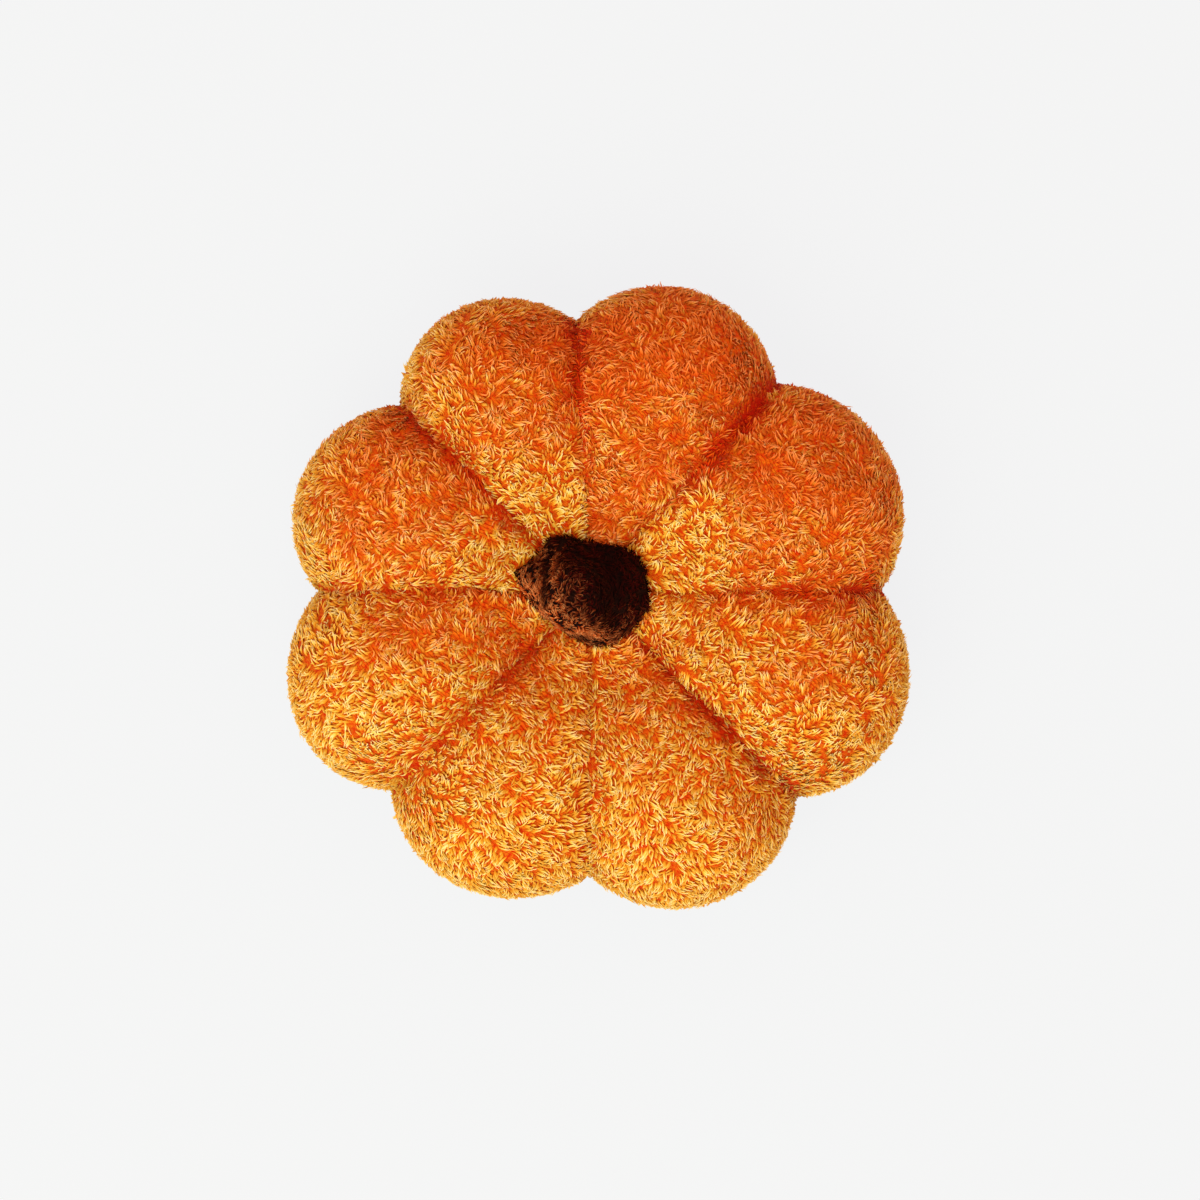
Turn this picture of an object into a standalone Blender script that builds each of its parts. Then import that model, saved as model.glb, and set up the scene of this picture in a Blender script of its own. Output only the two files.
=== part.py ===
"""A pumpkin cushion: one filled body of eight sewn lobes, with a filled stem standing in its top dimple.

Metres, +Z up. The cushion lies on its back. The origin is on the surface that it rests on, under the
middle of the body's box. Both solids reach as far as the tips of the plush pile.
"""

import math

import bmesh
import bpy
from mathutils import Vector

# Driving sizes of the body. Its meridian is drawn by MERIDIAN, as shares of the reach that SEAMS gives.
SEAT_HEIGHT = 0.112
BOTTOM_DIMPLE_HEIGHT = 0.0105
LOBE_FULLNESS = 0.92
MEAN_BULGE = 0.0266
LOBE_COLUMNS = 12
STEPS_BETWEEN_STATIONS = 2

# Driving sizes of the stem.
STEM_HEIGHT = 0.050
STEM_COLUMNS = 36
STEM_ROUND_RADIUS = 0.033
SEAT_GAP = 0.0003

# One row for each seam, turning anticlockwise from +X as seen from above, with the lobe that follows it.
# seam_deg: where the seam meets the outline. seam_reach: how far out it lies there.
# bulge: how far the lobe stands out past its two seams. lean: which side of the lobe is the fuller, -1 to 1.
# crown: the lobe's height against the others. groove: how deep the seam is drawn in, 1 for fully.
SEAMS = (
    # seam_deg, seam_reach, bulge, lean, crown, groove
    (0.0, 0.1775, 0.0262, -0.02, 1.000, 1.00),
    (48.1, 0.1707, 0.0268, 0.03, 1.015, 1.00),
    (93.0, 0.1645, 0.0270, 0.10, 0.995, 0.90),
    (135.3, 0.1624, 0.0254, 0.10, 0.985, 1.05),
    (180.0, 0.1654, 0.0276, 0.19, 1.000, 0.95),
    (225.0, 0.1710, 0.0247, -0.15, 0.990, 0.72),
    (270.0, 0.1728, 0.0291, 0.04, 1.010, 0.85),
    (315.0, 0.1778, 0.0282, -0.15, 1.005, 1.10),
)

# One row for each station down a meridian, from the stem's flat seat over the crown to the underside.
# The shares are of the reach at the outline. A height under the floor is pressed flat on it.
MERIDIAN = (
    # crest_share, crest_height, seam_share, seam_height
    (0.195, 0.1120, 0.226, 0.1120),
    (0.235, 0.1132, 0.262, 0.1126),
    (0.295, 0.1182, 0.320, 0.1158),
    (0.370, 0.1272, 0.400, 0.1208),
    (0.470, 0.1350, 0.500, 0.1245),
    (0.580, 0.1394, 0.610, 0.1255),
    (0.690, 0.1388, 0.715, 0.1232),
    (0.800, 0.1322, 0.815, 0.1165),
    (0.900, 0.1185, 0.908, 0.1050),
    (0.970, 0.0975, 0.973, 0.0880),
    (1.000, 0.0700, 1.000, 0.0670),
    (0.982, 0.0440, 0.972, 0.0475),
    (0.925, 0.0205, 0.900, 0.0330),
    (0.830, 0.0035, 0.780, 0.0235),
    (0.700, -0.0055, 0.640, 0.0175),
    (0.540, -0.0065, 0.480, 0.0145),
    (0.380, -0.0020, 0.330, 0.0130),
    (0.220, 0.0065, 0.190, 0.0118),
    (0.090, 0.0102, 0.075, 0.0107),
)

# The corners of the stem's flared foot, anticlockwise as seen from above: where each lies, how far out its
# point reaches, and how far out the middle of the edge to the next corner is.
FOOT_CORNERS = (
    # corner_deg, corner_reach, edge_reach
    (-10.0, 0.0390, 0.0365),
    (30.0, 0.0375, 0.0303),
    (132.0, 0.0430, 0.0412),
    (165.0, 0.0450, 0.0290),
    (295.0, 0.0360, 0.0362),
)

# One row for each section up the stem: its height as a share of STEM_HEIGHT, its size as a share of the
# foot's outline, how far it has turned round, and where its middle has leaned to.
STEM_SECTIONS = (
    # height_share, size, roundness, lean_x, lean_y
    (0.00, 0.780, 0.10, 0.0000, 0.0000),
    (0.05, 0.940, 0.03, 0.0000, 0.0000),
    (0.12, 1.000, 0.00, 0.0000, 0.0000),
    (0.22, 0.950, 0.10, -0.0008, -0.0004),
    (0.36, 0.830, 0.35, -0.0028, -0.0014),
    (0.52, 0.725, 0.65, -0.0050, -0.0026),
    (0.68, 0.670, 0.90, -0.0068, -0.0036),
    (0.82, 0.620, 1.00, -0.0080, -0.0043),
    (0.92, 0.510, 1.00, -0.0086, -0.0046),
    (0.98, 0.310, 1.00, -0.0088, -0.0047),
)


def curve_point(before, start, end, after, share):
    """A point of the smooth curve through start and end, each a tuple of numbers."""
    point = []
    for p0, p1, p2, p3 in zip(before, start, end, after):
        rise = 3.0 * p1 - p0 - 3.0 * p2 + p3
        turn = 2.0 * p0 - 5.0 * p1 + 4.0 * p2 - p3
        point.append(p1 + 0.5 * share * ((p2 - p0) + share * (turn + share * rise)))
    return tuple(point)


def smooth_rows(rows, steps):
    """The rows of a table with steps - 1 smooth rows added between each two."""
    smooth = []
    last = len(rows) - 1
    for index in range(last):
        before = rows[max(index - 1, 0)]
        after = rows[min(index + 2, last)]
        for step in range(steps):
            smooth.append(curve_point(before, rows[index], rows[index + 1], after, step / steps))
    smooth.append(rows[last])
    return smooth


def ring_mesh(name, rings, top, bottom):
    """A closed mesh of rings of points, listed from the top down and anticlockwise from above, with two poles."""
    shape = bmesh.new()
    loops = [[shape.verts.new(point) for point in ring] for ring in rings]
    top_pole = shape.verts.new(top)
    bottom_pole = shape.verts.new(bottom)
    columns = len(rings[0])
    for column in range(columns):
        beside = (column + 1) % columns
        shape.faces.new((top_pole, loops[0][column], loops[0][beside]))
        for upper, lower in zip(loops, loops[1:]):
            shape.faces.new((upper[column], lower[column], lower[beside], upper[beside]))
        shape.faces.new((bottom_pole, loops[-1][beside], loops[-1][column]))
    bmesh.ops.recalc_face_normals(shape, faces=shape.faces)
    mesh = bpy.data.meshes.new(name)
    shape.to_mesh(mesh)
    shape.free()
    mesh.shade_smooth()
    return mesh


def lobe_columns():
    """The columns round the body: angle, seam reach, share of the bulge, bulge, crown and groove of each."""
    columns = []
    for index, seam in enumerate(SEAMS):
        following = SEAMS[(index + 1) % len(SEAMS)]
        seam_deg, seam_reach, bulge, lean, crown, groove = seam
        end_deg = following[0] + (360.0 if following[0] <= seam_deg else 0.0)
        for step in range(LOBE_COLUMNS):
            # The columns crowd towards the seams, where the cloth turns in most.
            across = math.sin(math.pi * (step / LOBE_COLUMNS - 0.5))
            share = 0.5 + 0.5 * across
            leaned = across - lean * (1.0 - across * across) * 0.5
            angle = math.radians(seam_deg + (end_deg - seam_deg) * share)
            reach = seam_reach + (following[1] - seam_reach) * share
            fullness = max(0.0, 1.0 - leaned * leaned) ** LOBE_FULLNESS
            depth = groove + (following[5] - groove) * share
            columns.append((angle, reach, fullness, bulge, crown, depth))
    return columns


def body_point(column, station):
    """Where a column crosses a station of the meridian, with heights under the floor pressed flat."""
    angle, seam_reach, fullness, bulge, crown, groove = column
    crest_share, crest_height, seam_share, seam_height = station
    rise = SEAT_HEIGHT + (crest_height - SEAT_HEIGHT) * crown if crest_height > SEAT_HEIGHT else crest_height
    drawn_in = rise + (seam_height - rise) * groove
    crest_reach = (seam_reach + bulge) * crest_share
    radius = seam_reach * seam_share + (crest_reach - seam_reach * seam_share) * fullness
    height = drawn_in + (rise - drawn_in) * fullness * bulge / MEAN_BULGE
    return (radius * math.cos(angle), radius * math.sin(angle), max(0.0, height))


def make_body():
    """The filled body: eight lobes drawn in along their seams, over a flat seat, with a pressed underside."""
    columns = lobe_columns()
    stations = smooth_rows(MERIDIAN, STEPS_BETWEEN_STATIONS)
    rings = [[body_point(column, station) for column in columns] for station in stations]
    rings[0] = [(x, y, SEAT_HEIGHT) for x, y, _ in rings[0]]
    return ring_mesh("cushion_body", rings, (0.0, 0.0, SEAT_HEIGHT), (0.0, 0.0, BOTTOM_DIMPLE_HEIGHT))


def foot_reach(angle_deg):
    """How far out the foot's outline is at an angle, on a smooth curve through its corners and edges."""
    knots = []
    for index, (corner_deg, corner_reach, edge_reach) in enumerate(FOOT_CORNERS):
        next_deg = FOOT_CORNERS[(index + 1) % len(FOOT_CORNERS)][0]
        next_deg += 360.0 if next_deg < corner_deg else 0.0
        knots.append((corner_deg, corner_reach))
        knots.append((0.5 * (corner_deg + next_deg), edge_reach))
    first_deg = knots[0][0]
    turned = (angle_deg - first_deg) % 360.0 + first_deg
    for index, start in enumerate(knots):
        end = knots[(index + 1) % len(knots)]
        end_deg = end[0] + (360.0 if end[0] <= start[0] else 0.0)
        if start[0] <= turned < end_deg:
            share = (turned - start[0]) / (end_deg - start[0])
            eased = share * share * (3.0 - 2.0 * share)
            return start[1] + (end[1] - start[1]) * eased
    return knots[0][1]


def make_stem():
    """The filled stem: a flared foot with soft corners that narrows to a round, leaning top."""
    rings = []
    for height_share, size, roundness, lean_x, lean_y in reversed(smooth_rows(STEM_SECTIONS, 2)):
        ring = []
        for column in range(STEM_COLUMNS):
            angle_deg = 360.0 * column / STEM_COLUMNS
            angle = math.radians(angle_deg)
            outline = foot_reach(angle_deg)
            radius = size * (outline + (STEM_ROUND_RADIUS - outline) * roundness)
            x = lean_x + radius * math.cos(angle)
            y = lean_y + radius * math.sin(angle)
            ring.append((x, y, STEM_HEIGHT * height_share))
        rings.append(ring)
    top_lean = STEM_SECTIONS[-1][3:]
    return ring_mesh("stem", rings, (*top_lean, STEM_HEIGHT), (0.0, 0.0, 0.0))


def plush(name, colour, roughness):
    """A cloth finish of one colour."""
    material = bpy.data.materials.new(name)
    material.use_nodes = True
    shader = material.node_tree.nodes["Principled BSDF"]
    shader.inputs["Base Color"].default_value = (*colour, 1.0)
    shader.inputs["Roughness"].default_value = roughness
    shader.inputs["Metallic"].default_value = 0.0
    return material


def place(mesh, material, location, parent):
    """An object of that mesh and material at its place."""
    obj = bpy.data.objects.new(mesh.name, mesh)
    mesh.materials.append(material)
    bpy.context.scene.collection.objects.link(obj)
    obj.location = location
    obj.parent = parent
    return obj


def main():
    for old in list(bpy.data.objects):
        bpy.data.objects.remove(old, do_unlink=True)
    root = bpy.data.objects.new("pumpkin_cushion", None)
    bpy.context.scene.collection.objects.link(root)

    body = make_body()
    xs = [vertex.co.x for vertex in body.vertices]
    ys = [vertex.co.y for vertex in body.vertices]
    pole = Vector((-(min(xs) + max(xs)) / 2.0, -(min(ys) + max(ys)) / 2.0, 0.0))

    orange = plush("orange_plush", (0.83, 0.27, 0.03), 0.95)
    brown = plush("brown_plush", (0.085, 0.022, 0.008), 0.95)
    place(body, orange, pole, root)
    place(make_stem(), brown, pole + Vector((0.0, 0.0, SEAT_HEIGHT + SEAT_GAP)), root)


main()
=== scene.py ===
# %% [markdown]
# # A plush pumpkin cushion
#
# The real cushion is eight gores of long-pile plush, sewn edge to edge and stuffed with polyester fibre, with
# a small stuffed stem sewn into the dimple at its top. Three things make it look as it does: the round, tight
# lobes with their drawn-in seams, the pile that lies over in swirls and tufts, and the soft light that comes in
# low from one side. The lesson builds them in that order, after the frame and the camera.
#
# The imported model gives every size. Each solid there reaches as far as the tips of the pile, so the cloth lies
# one pile's depth inside it, and the pile grows back out to it.

import math

import bpy
import numpy as np
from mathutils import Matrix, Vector
from mathutils.bvhtree import BVHTree
from mathutils.kdtree import KDTree


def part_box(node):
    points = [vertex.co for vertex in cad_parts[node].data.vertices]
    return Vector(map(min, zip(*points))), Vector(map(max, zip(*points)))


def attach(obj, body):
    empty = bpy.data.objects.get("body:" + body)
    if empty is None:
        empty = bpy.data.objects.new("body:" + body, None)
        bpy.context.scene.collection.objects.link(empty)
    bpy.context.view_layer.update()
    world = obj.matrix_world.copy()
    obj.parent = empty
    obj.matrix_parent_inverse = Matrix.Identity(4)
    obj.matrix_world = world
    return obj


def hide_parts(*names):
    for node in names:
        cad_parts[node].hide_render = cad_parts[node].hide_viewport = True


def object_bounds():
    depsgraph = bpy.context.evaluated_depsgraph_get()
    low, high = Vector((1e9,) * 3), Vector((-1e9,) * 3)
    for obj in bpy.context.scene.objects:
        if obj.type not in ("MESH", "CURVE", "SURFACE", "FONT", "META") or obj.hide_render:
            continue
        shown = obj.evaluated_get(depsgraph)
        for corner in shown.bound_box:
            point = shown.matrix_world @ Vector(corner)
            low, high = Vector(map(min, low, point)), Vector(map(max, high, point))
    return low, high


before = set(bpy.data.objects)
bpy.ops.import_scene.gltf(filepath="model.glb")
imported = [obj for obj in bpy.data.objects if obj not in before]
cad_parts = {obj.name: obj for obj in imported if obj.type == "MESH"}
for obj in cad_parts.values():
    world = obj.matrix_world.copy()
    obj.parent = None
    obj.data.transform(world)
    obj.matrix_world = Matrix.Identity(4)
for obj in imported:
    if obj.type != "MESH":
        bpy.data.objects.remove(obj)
cad_low, cad_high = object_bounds()
MM = 0.001
print("frame", [round((high - low) / MM, 1) for low, high in zip(cad_low, cad_high)], "mm")

# %% [markdown]
# ## The camera
#
# The photograph looks straight down. Its picture is 1200 pixels square, and the cushion's outline fills the
# pixels named below. The outline is widest a little under half the cushion's height, so the scale is set on
# that level. A long lens from well above keeps the tall stem from growing, as a product photographer would.

# %% Camera
PICTURE_SIDE = 1200.0
OUTLINE_LEFT, OUTLINE_RIGHT = 286.0, 911.0
OUTLINE_TOP, OUTLINE_FOOT = 283.0, 911.0
RIM_HEIGHT = 0.070
CAMERA_HEIGHT = 1.90

metres_per_pixel = 0.5 * (
    (cad_high.x - cad_low.x) / (OUTLINE_RIGHT - OUTLINE_LEFT)
    + (cad_high.y - cad_low.y) / (OUTLINE_FOOT - OUTLINE_TOP)
)
middle_x = (0.5 * PICTURE_SIDE - 0.5 * (OUTLINE_LEFT + OUTLINE_RIGHT)) * metres_per_pixel
middle_y = (0.5 * (OUTLINE_TOP + OUTLINE_FOOT) - 0.5 * PICTURE_SIDE) * metres_per_pixel

camera_data = bpy.data.cameras.new("camera")
camera = bpy.data.objects.new("camera", camera_data)
bpy.context.scene.collection.objects.link(camera)
camera.location = (middle_x, middle_y, CAMERA_HEIGHT)
camera_data.lens = camera_data.sensor_width * (CAMERA_HEIGHT - RIM_HEIGHT) / (PICTURE_SIDE * metres_per_pixel)
bpy.context.scene.camera = camera
print("one pixel is", round(metres_per_pixel / MM, 4), "mm, lens", round(camera_data.lens, 1), "mm")

# %% [markdown]
# ## Colours and nodes
#
# Colours are read off as sRGB hex values, the way a picture holds them, and Blender's shaders want linear ones.
# One function turns the first into the second, and one adds a node with its settings and its links.

# %% Helpers for materials


def linear(code):
    """The linear RGB values of an sRGB hex colour."""
    shares = [int(code[start:start + 2], 16) / 255.0 for start in (1, 3, 5)]
    return tuple(s / 12.92 if s <= 0.04045 else ((s + 0.055) / 1.055) ** 2.4 for s in shares)


def add_node(tree, kind, settings=None, inputs=None):
    """Adds a node, sets its properties, and fills or links its inputs."""
    node = tree.nodes.new(kind)
    for name, value in (settings or {}).items():
        setattr(node, name, value)
    for socket, value in (inputs or {}).items():
        if isinstance(value, bpy.types.NodeSocket):
            tree.links.new(value, node.inputs[socket])
        else:
            node.inputs[socket].default_value = value
    return node


def add_ramp(tree, factor, stops):
    """Adds a colour ramp through stops of a place from 0 to 1 and a hex colour."""
    node = add_node(tree, "ShaderNodeValToRGB", inputs={"Fac": factor})
    elements = node.color_ramp.elements
    while len(elements) < len(stops):
        elements.new(1.0)
    for element, (place, code) in zip(elements, stops):
        element.position = place
        element.color = (*linear(code), 1.0)
    return node.outputs["Color"]


# %% [markdown]
# ## The plush
#
# Plush is a polyester knit with a cut pile. Each lock of it is a bundle of fine fibres. Down between the roots
# the light bounces from orange to orange and comes out a deep red-orange. At the tips the fibres part, and they
# look pale and a little silky. So the colour runs along each lock, from painted shade, a deep red-orange, at the
# root to a pale painted sheen at the tip, and it varies from lock to lock.
#
# The pile is modelled as hundreds of thousands of small faces, and one picture of a colour for each would be
# wasteful. Instead, each lock points at one cell of a small chart: across the chart the locks get lighter, up
# the chart they go from red to yellow, and inside each cell the colour runs from root to tip. The chart is a UV
# map, and the material works out the same chart from it.

# %% Plush material
CHART_MAP = "OFBake"
TONE_CELLS = 64
WARMTH_CELLS = 16
CELL_MARGIN = 0.06
PLUSH_ROUGHNESS = 0.9
PLUSH_SHEEN = 0.42
PLUSH_SHEEN_ROUGHNESS = 0.4


def make_pile_material(name, red_stops, yellow_stops, dimmest, brightest, sheen_tint):
    """A plush finish whose locks run from root to tip through two ramps, mixed by the lock's warmth."""
    material = bpy.data.materials.new(name)
    material.use_nodes = True
    tree = material.node_tree
    shader = tree.nodes["Principled BSDF"]

    chart = add_node(tree, "ShaderNodeUVMap", {"uv_map": CHART_MAP})
    axes = add_node(tree, "ShaderNodeSeparateXYZ", inputs={"Vector": chart.outputs["UV"]})
    rows = add_node(tree, "ShaderNodeMath", {"operation": "MULTIPLY"}, {0: axes.outputs["Y"], 1: WARMTH_CELLS})
    row = add_node(tree, "ShaderNodeMath", {"operation": "FLOOR"}, {0: rows.outputs[0]})
    warmth = add_node(
        tree, "ShaderNodeMath", {"operation": "DIVIDE"}, {0: row.outputs[0], 1: WARMTH_CELLS - 1.0}
    )
    inside = add_node(tree, "ShaderNodeMath", {"operation": "FRACT"}, {0: rows.outputs[0]})
    along = add_node(
        tree,
        "ShaderNodeMapRange",
        inputs={"Value": inside.outputs[0], "From Min": CELL_MARGIN, "From Max": 1.0 - CELL_MARGIN},
    )
    red = add_ramp(tree, along.outputs["Result"], red_stops)
    yellow = add_ramp(tree, along.outputs["Result"], yellow_stops)
    hue = add_node(
        tree, "ShaderNodeMix", {"data_type": "RGBA"}, {0: warmth.outputs[0], 6: red, 7: yellow}
    )
    tone = add_node(
        tree,
        "ShaderNodeMapRange",
        inputs={"Value": axes.outputs["X"], "To Min": dimmest, "To Max": brightest},
    )
    lit = add_node(
        tree,
        "ShaderNodeVectorMath",
        {"operation": "SCALE"},
        {0: hue.outputs[2], "Scale": tone.outputs["Result"]},
    )
    tree.links.new(lit.outputs["Vector"], shader.inputs["Base Color"])
    shader.inputs["Roughness"].default_value = PLUSH_ROUGHNESS
    shader.inputs["Specular IOR Level"].default_value = 0.08
    shader.inputs["Sheen Weight"].default_value = PLUSH_SHEEN
    shader.inputs["Sheen Roughness"].default_value = PLUSH_SHEEN_ROUGHNESS
    shader.inputs["Sheen Tint"].default_value = (*linear(sheen_tint), 1.0)
    return material


# Each ramp runs from the root's painted shade to the tip's pale painted sheen.
orange_pile = make_pile_material(
    "cut polyester pile, orange",
    red_stops=((0.0, "#BC0C00"), (0.35, "#D42200"), (0.65, "#EC4800"), (1.0, "#FF7C14")),
    yellow_stops=((0.0, "#D85A04"), (0.35, "#F4A022"), (0.65, "#FCCE5E"), (1.0, "#FFECBC")),
    dimmest=0.45,
    brightest=1.0,
    sheen_tint="#FFC484",
)
# The brown pile's red row is nearly black, for painted shade in the stem's folds and away from the key lamp, and its
# yellow row is tan, for painted light on the side towards it.
brown_pile = make_pile_material(
    "cut polyester pile, brown",
    red_stops=((0.0, "#080000"), (0.35, "#200100"), (0.70, "#480200"), (1.0, "#700C02")),
    yellow_stops=((0.0, "#6A1600"), (0.35, "#B04210"), (0.70, "#D87A3E"), (1.0, "#F8B882")),
    dimmest=0.22,
    brightest=1.0,
    sheen_tint="#803818",
)

# %% [markdown]
# Under the pile is its ground: a tight warp knit, dyed with the pile. It shows only where the locks part, so it is
# made dark, warm and a little uneven there; its darkness is partly painted shade between the locks. Its wales, the
# columns of stitches, are 1.2 mm apart.

# %% Ground cloth material
WALE_SPACING = 1.2 * MM
GROUND_ROUGHNESS = 0.95
WALE_DEPTH = 0.6 * MM
FLUFF_SIZE = 2.0 * MM
SEWN_MAP = "sewn"


def make_ground_material(name, dark, light, shaded):
    """A tight warp knit, with its wales as fine ridges, an uneven dye, and painted seam shade in a darker colour
    where it is sewn.
    """
    material = bpy.data.materials.new(name)
    material.use_nodes = True
    tree = material.node_tree
    shader = tree.nodes["Principled BSDF"]
    place = add_node(tree, "ShaderNodeTexCoord").outputs["Object"]
    wales = add_node(
        tree,
        "ShaderNodeTexWave",
        {"wave_type": "BANDS", "bands_direction": "DIAGONAL"},
        {"Vector": place, "Scale": 2.0 * math.pi / (20.0 * WALE_SPACING), "Distortion": 6.0, "Detail": 3.0},
    )
    dye = add_node(
        tree, "ShaderNodeTexNoise", inputs={"Vector": place, "Scale": 1.0 / FLUFF_SIZE, "Detail": 3.0}
    )
    colour = add_ramp(tree, dye.outputs["Fac"], ((0.35, dark), (0.65, light)))
    ridges = add_node(
        tree,
        "ShaderNodeBump",
        inputs={"Height": wales.outputs["Fac"], "Distance": WALE_DEPTH, "Strength": 0.9},
    )
    # Painted seam shade: the ground turns to the shaded colour as far as the sewn map says.
    sewn = add_node(tree, "ShaderNodeAttribute", {"attribute_name": SEWN_MAP})
    mixed = add_node(
        tree, "ShaderNodeMix", {"data_type": "RGBA"}, {0: sewn.outputs["Fac"], 6: colour, 7: (*linear(shaded), 1.0)}
    )
    tree.links.new(mixed.outputs[2], shader.inputs["Base Color"])
    tree.links.new(ridges.outputs["Normal"], shader.inputs["Normal"])
    shader.inputs["Roughness"].default_value = GROUND_ROUGHNESS
    shader.inputs["Specular IOR Level"].default_value = 0.1
    return material


orange_ground = make_ground_material("warp knit ground, orange", "#D03000", "#E27010", "#B81600")
brown_ground = make_ground_material("warp knit ground, brown", "#120200", "#220804", "#080000")

# %% [markdown]
# ## Reading the shape from the frame
#
# The cloth is a net of columns, which run from the top over the outside to the underside, and rows, which run
# round. Both solids can be seen whole from one point inside them, so a ray from that point finds the surface in
# any direction. Each column's hits are then spaced evenly along it. The columns crowd towards the seams, where
# the cloth turns in most.

# %% Rays from inside a solid
RAYS_PER_COLUMN = 180


def solid_tree(node):
    """A search tree of a frame node's faces."""
    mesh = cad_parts[node].data
    return BVHTree.FromPolygons([v.co for v in mesh.vertices], [tuple(p.vertices) for p in mesh.polygons])


def evenly_spaced(points, count):
    """Points at even steps along a line of points."""
    steps = np.linalg.norm(np.diff(points, axis=0), axis=1)
    travelled = np.concatenate(([0.0], np.cumsum(steps)))
    wanted = np.linspace(0.0, travelled[-1], count)
    return np.stack([np.interp(wanted, travelled, points[:, axis]) for axis in range(3)], axis=1)


def cast_columns(node, middle, angles, rows):
    """The surface of a node as an array of columns and rows, from straight above middle to straight below."""
    tree = solid_tree(node)
    columns = []
    for angle in angles:
        hits = []
        for elevation in np.linspace(0.5 * math.pi, -0.5 * math.pi, RAYS_PER_COLUMN):
            level = math.cos(elevation)
            direction = Vector((level * math.cos(angle), level * math.sin(angle), math.sin(elevation)))
            hit = tree.ray_cast(middle, direction)[0]
            if hit is not None:
                hits.append(tuple(hit))
        columns.append(evenly_spaced(np.array(hits), rows))
    return np.array(columns)


def net_mesh(name, net):
    """A closed mesh from columns and rows whose first and last rows are each one point."""
    columns, rows = net.shape[:2]
    inner = net[:, 1:-1].reshape(-1, 3)
    top, foot = len(inner), len(inner) + 1
    points = [tuple(p) for p in inner] + [tuple(net[:, 0].mean(axis=0)), tuple(net[:, -1].mean(axis=0))]
    faces = []
    for column in range(columns):
        here, beside = column * (rows - 2), (column + 1) % columns * (rows - 2)
        faces.append((top, here, beside))
        faces.extend((here + r, here + r + 1, beside + r + 1, beside + r) for r in range(rows - 3))
        faces.append((foot, beside + rows - 3, here + rows - 3))
    mesh = bpy.data.meshes.new(name)
    mesh.from_pydata(points, [], faces)
    mesh.update()
    return mesh


def read_points(mesh):
    """A mesh's points and their normals as arrays."""
    points = np.zeros(len(mesh.vertices) * 3, np.float32)
    normals = np.zeros(len(mesh.vertices) * 3, np.float32)
    mesh.vertices.foreach_get("co", points)
    mesh.vertex_normals.foreach_get("vector", normals)
    return points.reshape(-1, 3).astype(float), normals.reshape(-1, 3).astype(float)


def write_points(mesh, points):
    """Moves a mesh's points to those of an array."""
    mesh.vertices.foreach_set("co", points.astype(np.float32).ravel())
    mesh.update()


# %% [markdown]
# The direction of the pile wanders slowly over the cloth. A sum of a few waves in random directions is smooth,
# quick to work out for all the roots at once, and the same on every run.

# %% A slow random drift
WAVES = 14


def drift(points, wavelength, seed):
    """A smooth random value at each point, mostly from -1 to 1, that changes over about a wavelength."""
    dice = np.random.default_rng(seed)
    ways = dice.normal(size=(WAVES, 3))
    ways /= np.linalg.norm(ways, axis=1)[:, None]
    pitch = wavelength * dice.uniform(0.7, 1.5, WAVES)
    phase = dice.uniform(0.0, 2.0 * math.pi, WAVES)
    turns = 2.0 * math.pi * points @ (ways / pitch[:, None]).T + phase
    return np.sin(turns).sum(axis=1) * math.sqrt(2.0 / WAVES)


# %% [markdown]
# The seams meet at the pole, under the stem. The pole isn't the middle of the cushion's box, because the lobes
# are uneven. In the small dimple of the underside, the solid's faces meet there in a fan, so more of them share
# that point than any other.
#
# Each gore of plush was cut with its pile running its own way, which can make two lobes that meet at a seam
# differ in how pale they look. The table gives for each lobe which way its pile runs, in degrees from straight
# down the lobe towards the seam that follows, how strongly the pile swirls, and how yellow it is near the stem and
# further out. These yellows are mostly painted light: the lobes towards the key lamp at the lower left are paler,
# and some parts near the stem are painted yellower against the shade there. The table also says how far the seam
# before the lobe opens to its ground, near the stem and at the rim; that draws the seam in deeper, shortens its
# locks, and sets its painted shade, a darker red on the ground and on the locks.

# %% Seams and naps
LOBES = (
    # seam_deg, nap_deg, swirl, warm_inside, warm_outside, open_inside, open_outside
    (0.0, 25.0, 1.0, 1.08, 0.36, 0.10, 0.85),
    (48.1, 60.0, 1.0, 0.26, 0.28, 0.40, 1.00),
    (93.0, -50.0, 0.9, 1.20, 0.46, 0.10, 0.70),
    (135.3, 20.0, 1.0, 1.40, 0.44, 0.80, 0.70),
    (180.0, -30.0, 1.0, 0.80, 0.88, 0.45, 0.70),
    (225.0, 75.0, 0.8, 0.62, 1.06, 0.60, 0.60),
    (270.0, 5.0, 0.7, 0.66, 0.98, 0.20, 0.60),
    (315.0, 40.0, 1.1, 0.90, 0.78, 0.80, 0.90),
)
SEAM_ANGLES = np.radians([lobe[0] for lobe in LOBES])
OPEN_FROM = 55.0 * MM
OPEN_TO = 130.0 * MM
OPEN_WIDTH = 6.0 * MM
OPEN_PITCH = 16.0 * MM

body_low, body_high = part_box("cushion_body")
stem_low, stem_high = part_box("stem")


DIMPLE_HEIGHTS = (5.0 * MM, 20.0 * MM)


def busiest_point(mesh, lowest, highest):
    """The point between two heights that most of a mesh's face corners share."""
    corners = np.zeros(len(mesh.loops), np.int32)
    mesh.loops.foreach_get("vertex_index", corners)
    points = read_points(mesh)[0][corners].round(5)
    points = points[(points[:, 2] > lowest) & (points[:, 2] < highest)]
    places, uses = np.unique(points, axis=0, return_counts=True)
    return places[uses.argmax()]


pole = busiest_point(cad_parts["cushion_body"].data, *DIMPLE_HEIGHTS)[:2]
print("pole", (pole / MM).round(2), "mm")


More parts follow.
